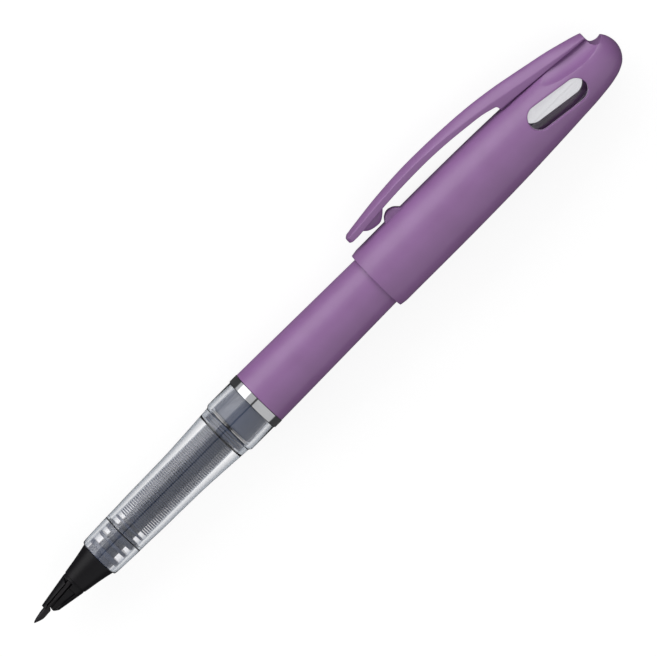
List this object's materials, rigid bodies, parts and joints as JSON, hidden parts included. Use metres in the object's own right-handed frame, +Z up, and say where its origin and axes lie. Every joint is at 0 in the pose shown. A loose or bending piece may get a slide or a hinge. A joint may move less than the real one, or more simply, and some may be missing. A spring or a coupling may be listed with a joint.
{
  "type": "refillable sketch pen",
  "caption": "Slim plastic-nib sketch pen with a clear ribbed-feed grip, bright trim ring, tapered barrel and a clipped, windowed cap pushed on the tail.",
  "frame": {"origin": "below the middle of the pen's box, on the plane that the belly of the cap lies on", "axes": "+X along the pen from the nib to the crown of the cap, +Y towards the clip, +Z up with the pen lying on its side"},
  "size_m": [0.161, 0.0192, 0.0139],
  "materials": {
    "mauve_shell": "fine satin moulded plastic",
    "clear_plastic": "clear polished",
    "bright_ring": "polished plating",
    "smoke_plastic": "smoke grey, moulded",
    "black_fibre": "bonded fibre soaked with black ink",
    "natural_tank": "translucent natural plastic",
    "black_plastic": "satin moulded plastic"
  },
  "bodies": {
    "barrel": {"barrel": "mauve_shell"},
    "cap": {"cap_shell": "mauve_shell", "inner_cap": "clear_plastic"},
    "clip": {"clip": "mauve_shell"},
    "ring": {"trim_ring": "bright_ring"},
    "front": {"connector": "smoke_plastic", "grip_sleeve": "clear_plastic", "front_collar": "clear_plastic", "collector": "smoke_plastic", "feed_rod": "black_fibre", "ink_tank": "natural_tank", "tank_plug": "black_plastic", "nib_holder": "black_plastic", "nib": "black_plastic"}
  },
  "joints": [
    {"name": "cap_pull", "type": "slide", "parent": "barrel", "child": "cap", "axis": [1, 0, 0], "range_m": [0, 0.036]},
    {"name": "clip_flex", "type": "hinge", "parent": "cap", "child": "clip", "pos_m": [0.0551, 0.00662, 0.00697], "axis": [0, 0, -1], "range_deg": [0, 3.5], "stiffness_Nm_per_rad": 1.5},
    {"name": "ring_advance", "type": "slide", "parent": "barrel", "child": "ring", "axis": [-1, 0, 0], "range_m": [0, 0.0045]},
    {"name": "front_unscrew", "type": "hinge", "parent": "ring", "child": "front", "pos_m": [-0.018, -0.00258, 0.00697], "axis": [-1, 0, 0], "range_deg": [0, 1081]}
  ],
  "couplings": [
    {"joint": "front_unscrew", "follows": "ring_advance", "rad_per_m": 4188.8}
  ]
}
